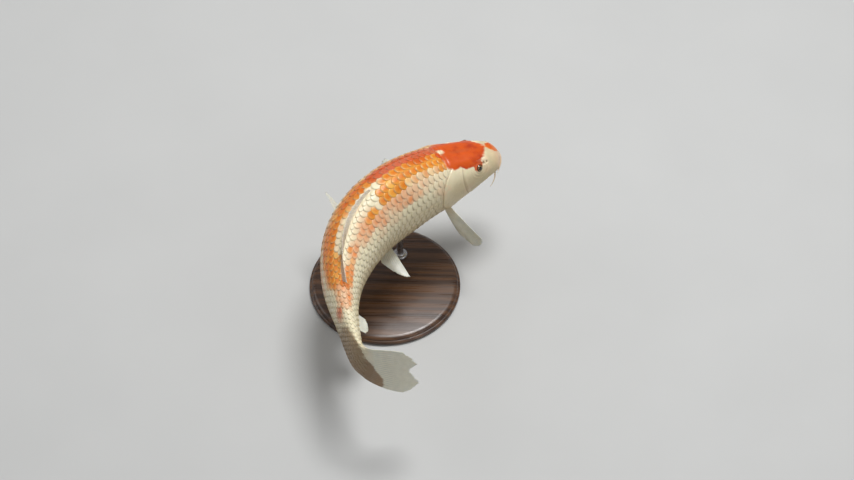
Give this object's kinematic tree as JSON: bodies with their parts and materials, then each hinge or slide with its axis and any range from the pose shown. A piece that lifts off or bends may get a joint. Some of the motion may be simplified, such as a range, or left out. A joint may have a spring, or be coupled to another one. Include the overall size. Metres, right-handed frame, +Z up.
{
  "type": "koi carp model",
  "caption": "Life-size koi carp in orange-red and cream, curling to its right with spread fins, held above a round base by short rods.",
  "frame": {"origin": "centre of the stand base's underside, on the floor", "axes": "+Z up; the fish's head points towards +X and a little +Y, and its tail lies towards -Y with the tail fin turned to +X"},
  "size_m": [0.2834, 0.4466, 0.2178],
  "materials": {
    "koi_skin": "wet scaled skin, orange-red patches on cream white",
    "fin": "thin rayed fin, translucent whitish",
    "eye": "polished, dark pupil in a narrow gold iris",
    "barbel": "soft fleshy feeler",
    "base_wood": "dark stained, satin",
    "rod_steel": "brushed"
  },
  "bodies": {
    "root": {"head": "koi_skin", "lower_jaw": "koi_skin", "gill_cover_right": "koi_skin", "gill_cover_left": "koi_skin", "trunk_front": "koi_skin", "trunk_middle": "koi_skin", "trunk_rear": "koi_skin", "tail_stalk": "koi_skin", "eye_right": "eye", "eye_left": "eye", "barbel_upper_right": "barbel", "barbel_upper_left": "barbel", "barbel_corner_right": "barbel", "barbel_corner_left": "barbel", "fin_dorsal": "fin", "fin_anal": "fin", "fin_tail": "fin", "fin_pectoral_right": "fin", "fin_pectoral_left": "fin", "fin_pelvic_right": "fin", "fin_pelvic_left": "fin", "stand_base": "base_wood", "stand_rod_front": "rod_steel", "stand_rod_rear": "rod_steel"}
  },
  "joints": []
}
